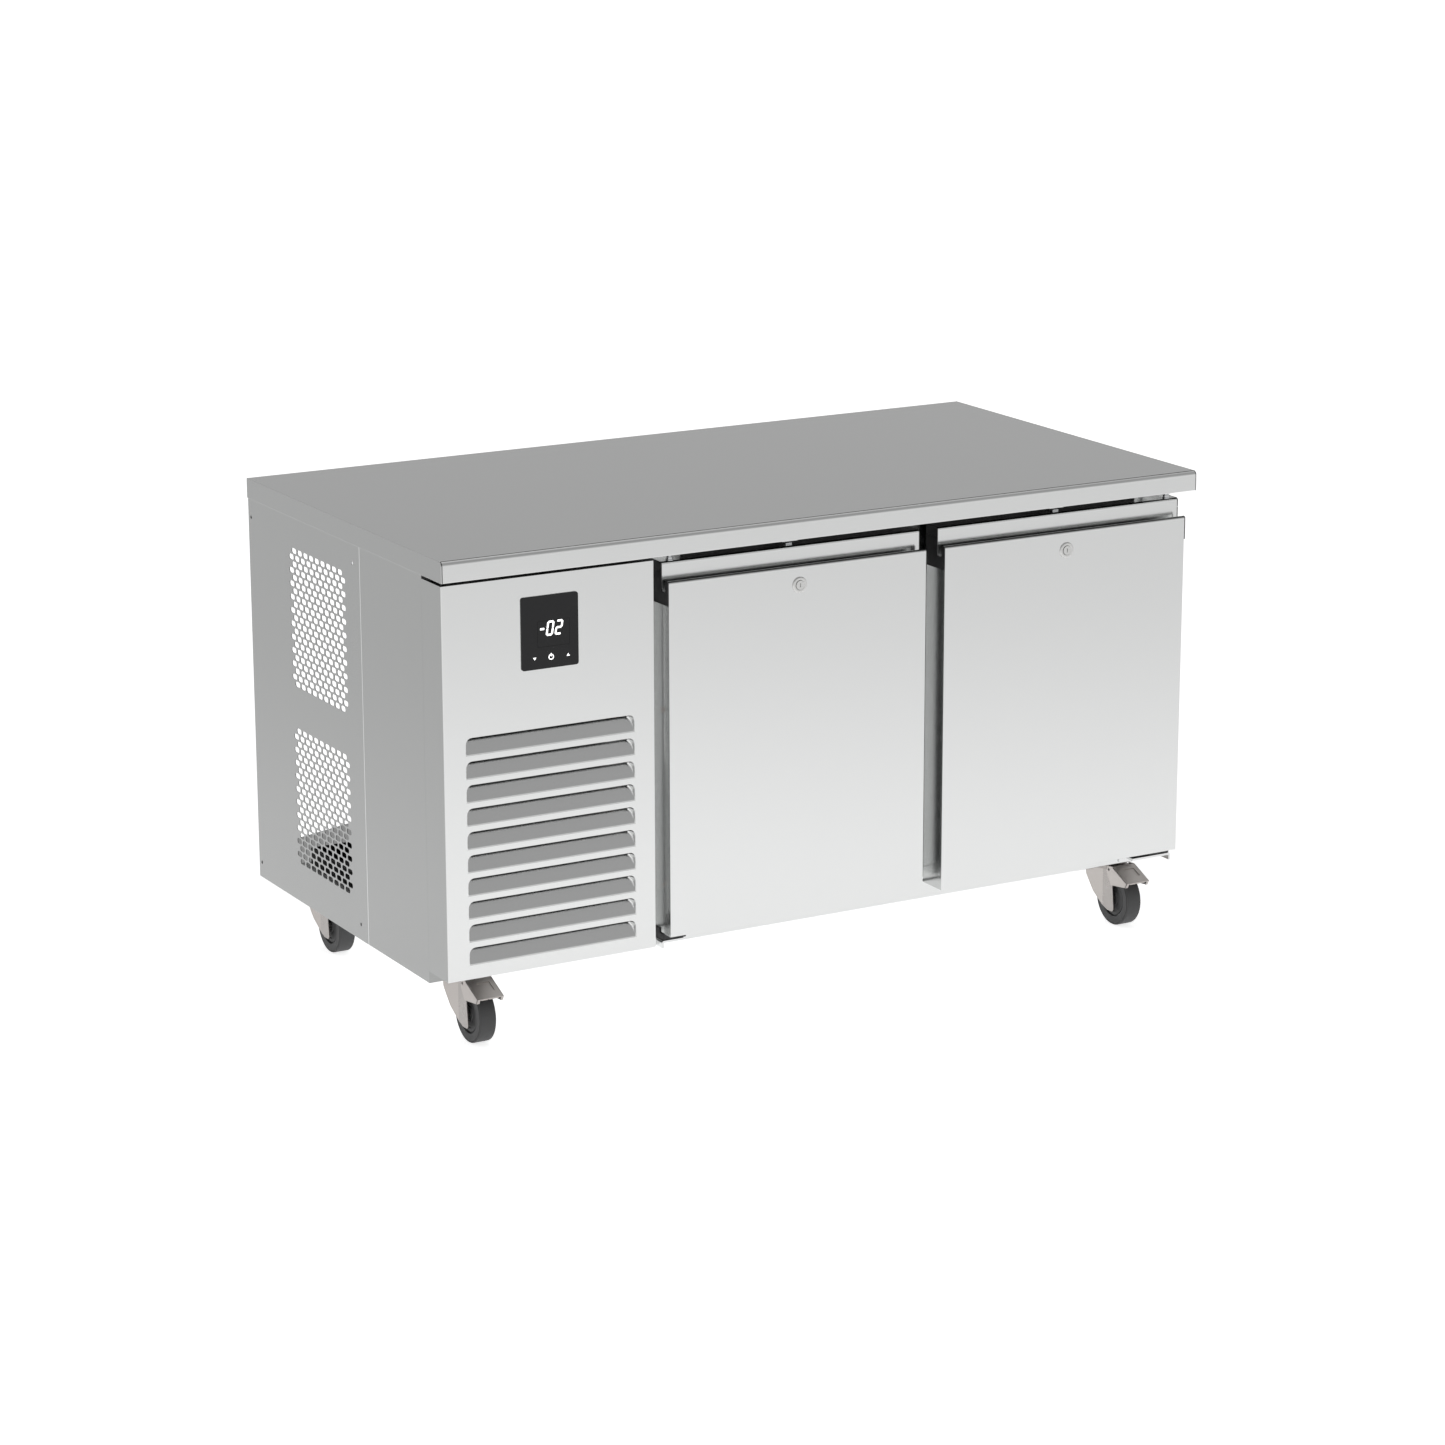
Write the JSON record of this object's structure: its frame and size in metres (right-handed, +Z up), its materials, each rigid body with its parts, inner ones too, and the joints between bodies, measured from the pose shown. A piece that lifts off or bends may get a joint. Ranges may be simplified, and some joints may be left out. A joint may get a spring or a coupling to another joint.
{
  "type": "undercounter refrigerator",
  "caption": "Stainless undercounter refrigerator with hinged doors, a louvred machine compartment, perforated side panel and swivel casters with foot brakes.",
  "frame": {"origin": "middle of the footprint, on the floor under the wheels", "axes": "+X along the front from the machine compartment to the last door, -Y out of the front towards the user, +Z up"},
  "size_m": [1.486, 0.7874, 0.85],
  "materials": {
    "stainless": "fine brushed stainless sheet",
    "galvanised": "dull galvanised sheet",
    "core_board": "pressed board, hidden",
    "rigid_foam": "rigid insulating foam, hidden",
    "black_plastic": "fine matt black moulding",
    "gasket": "soft grey profile",
    "nickel": "satin nickel",
    "bright_steel": "bright zinc plated",
    "caster_steel": "zinc plated pressed steel",
    "wheel_rubber": "dark grey non-marking tread",
    "compressor_black": "black enamel",
    "fin_aluminium": "mill finish",
    "copper": "bright copper tube",
    "fan_plastic": "matt moulded blades",
    "motor_grey": "dark grey enamel",
    "shelf_wire": "grey epoxy coated wire"
  },
  "bodies": {
    "cabinet": {"worktop": "stainless", "outer_shell": "stainless", "inner_liner": "stainless", "centre_mullion": "stainless", "bottom_rail": "stainless", "side_panel_perforated": "stainless", "side_panel_plain": "stainless", "unit_front_cover": "stainless", "lock_keepers": "stainless", "hinge_brackets": "stainless", "shelf_supports": "stainless", "base_frame": "galvanised", "unit_rear_panel": "galvanised", "condenser_shroud": "galvanised", "worktop_core": "core_board", "insulation_foam": "rigid_foam", "controller_bezel": "black_plastic", "controller_housing": "black_plastic", "cord_gland": "black_plastic", "evaporation_tray": "black_plastic", "electrical_box": "black_plastic", "hinge_pins": "bright_steel", "caster_bolts": "bright_steel", "caster_top_plates": "caster_steel", "compressor": "compressor_black", "condenser_coil": "fin_aluminium", "evaporator_coil": "fin_aluminium", "evaporator_housing": "fin_aluminium", "refrigerant_pipes": "copper", "fan_motors": "motor_grey", "shelves": "shelf_wire"},
    "door_left": {"door_left_skin": "stainless", "door_left_liner": "stainless", "door_left_foam": "rigid_foam", "door_left_gasket": "gasket", "door_left_end_caps": "black_plastic", "lock_left_body": "nickel"},
    "lock_left_barrel": {"lock_left_barrel": "nickel"},
    "lock_left_bolt": {"lock_left_bolt": "bright_steel"},
    "door_right": {"door_right_skin": "stainless", "door_right_liner": "stainless", "door_right_foam": "rigid_foam", "door_right_gasket": "gasket", "door_right_end_caps": "black_plastic", "lock_right_body": "nickel"},
    "lock_right_barrel": {"lock_right_barrel": "nickel"},
    "lock_right_bolt": {"lock_right_bolt": "bright_steel"},
    "condenser_fan": {"condenser_fan": "fan_plastic"},
    "evaporator_fan": {"evaporator_fan": "fan_plastic"},
    "caster_front_left_fork": {"caster_front_left_fork": "caster_steel"},
    "caster_front_left_wheel": {"caster_front_left_wheel": "wheel_rubber"},
    "caster_front_left_pedal": {"caster_front_left_pedal": "caster_steel"},
    "caster_front_right_fork": {"caster_front_right_fork": "caster_steel"},
    "caster_front_right_wheel": {"caster_front_right_wheel": "wheel_rubber"},
    "caster_front_right_pedal": {"caster_front_right_pedal": "caster_steel"},
    "caster_rear_left_fork": {"caster_rear_left_fork": "caster_steel"},
    "caster_rear_left_wheel": {"caster_rear_left_wheel": "wheel_rubber"},
    "caster_rear_right_fork": {"caster_rear_right_fork": "caster_steel"},
    "caster_rear_right_wheel": {"caster_rear_right_wheel": "wheel_rubber"}
  },
  "joints": [
    {"name": "door_left_hinge", "type": "hinge", "parent": "cabinet", "child": "door_left", "pos_m": [-0.3045, -0.356, 0.47], "axis": [0, 0, -1], "range_deg": [0, 105]},
    {"name": "lock_left_turn", "type": "hinge", "parent": "door_left", "child": "lock_left_barrel", "pos_m": [-0.0715, -0.37, 0.7349], "axis": [0, -1, 0], "range_deg": [0, 90]},
    {"name": "lock_left_bolt_slide", "type": "slide", "parent": "door_left", "child": "lock_left_bolt", "axis": [0, 0, 1], "range_m": [0, 0.0101]},
    {"name": "door_right_hinge", "type": "hinge", "parent": "cabinet", "child": "door_right", "pos_m": [0.704, -0.356, 0.47], "axis": [0, 0, 1], "range_deg": [0, 105]},
    {"name": "lock_right_turn", "type": "hinge", "parent": "door_right", "child": "lock_right_barrel", "pos_m": [0.471, -0.37, 0.7349], "axis": [0, -1, 0], "range_deg": [0, 90]},
    {"name": "lock_right_bolt_slide", "type": "slide", "parent": "door_right", "child": "lock_right_bolt", "axis": [0, 0, 1], "range_m": [0, 0.0101]},
    {"name": "condenser_fan_spin", "type": "hinge", "parent": "cabinet", "child": "condenser_fan", "pos_m": [-0.55, -0.24, 0.36], "axis": [0, 1, 0], "continuous": true},
    {"name": "evaporator_fan_spin", "type": "hinge", "parent": "cabinet", "child": "evaporator_fan", "pos_m": [0.162, -0.12, 0.56], "axis": [1, 0, 0], "continuous": true},
    {"name": "caster_front_left_swivel", "type": "hinge", "parent": "cabinet", "child": "caster_front_left_fork", "pos_m": [-0.6552, -0.2712, 0.1], "axis": [0, 0, 1], "continuous": true},
    {"name": "caster_front_left_spin", "type": "hinge", "parent": "caster_front_left_fork", "child": "caster_front_left_wheel", "pos_m": [-0.6552, -0.3092, 0.05], "axis": [1, 0, 0], "continuous": true},
    {"name": "caster_front_left_brake", "type": "hinge", "parent": "caster_front_left_fork", "child": "caster_front_left_pedal", "pos_m": [-0.6552, -0.3107, 0.106], "axis": [1, 0, 0], "range_deg": [0, 12]},
    {"name": "caster_front_right_swivel", "type": "hinge", "parent": "cabinet", "child": "caster_front_right_fork", "pos_m": [0.6552, -0.2712, 0.1], "axis": [0, 0, 1], "continuous": true},
    {"name": "caster_front_right_spin", "type": "hinge", "parent": "caster_front_right_fork", "child": "caster_front_right_wheel", "pos_m": [0.6552, -0.3092, 0.05], "axis": [1, 0, 0], "continuous": true},
    {"name": "caster_front_right_brake", "type": "hinge", "parent": "caster_front_right_fork", "child": "caster_front_right_pedal", "pos_m": [0.6552, -0.3107, 0.106], "axis": [1, 0, 0], "range_deg": [0, 12]},
    {"name": "caster_rear_left_swivel", "type": "hinge", "parent": "cabinet", "child": "caster_rear_left_fork", "pos_m": [-0.6552, 0.2933, 0.1], "axis": [0, 0, 1], "continuous": true},
    {"name": "caster_rear_left_spin", "type": "hinge", "parent": "caster_rear_left_fork", "child": "caster_rear_left_wheel", "pos_m": [-0.6552, 0.2553, 0.05], "axis": [1, 0, 0], "continuous": true},
    {"name": "caster_rear_right_swivel", "type": "hinge", "parent": "cabinet", "child": "caster_rear_right_fork", "pos_m": [0.6552, 0.2933, 0.1], "axis": [0, 0, 1], "continuous": true},
    {"name": "caster_rear_right_spin", "type": "hinge", "parent": "caster_rear_right_fork", "child": "caster_rear_right_wheel", "pos_m": [0.6552, 0.2553, 0.05], "axis": [1, 0, 0], "continuous": true}
  ],
  "couplings": [
    {"joint": "lock_left_bolt_slide", "follows": "lock_left_turn", "m_per_rad": 0.0063662},
    {"joint": "lock_right_bolt_slide", "follows": "lock_right_turn", "m_per_rad": 0.0063662}
  ]
}
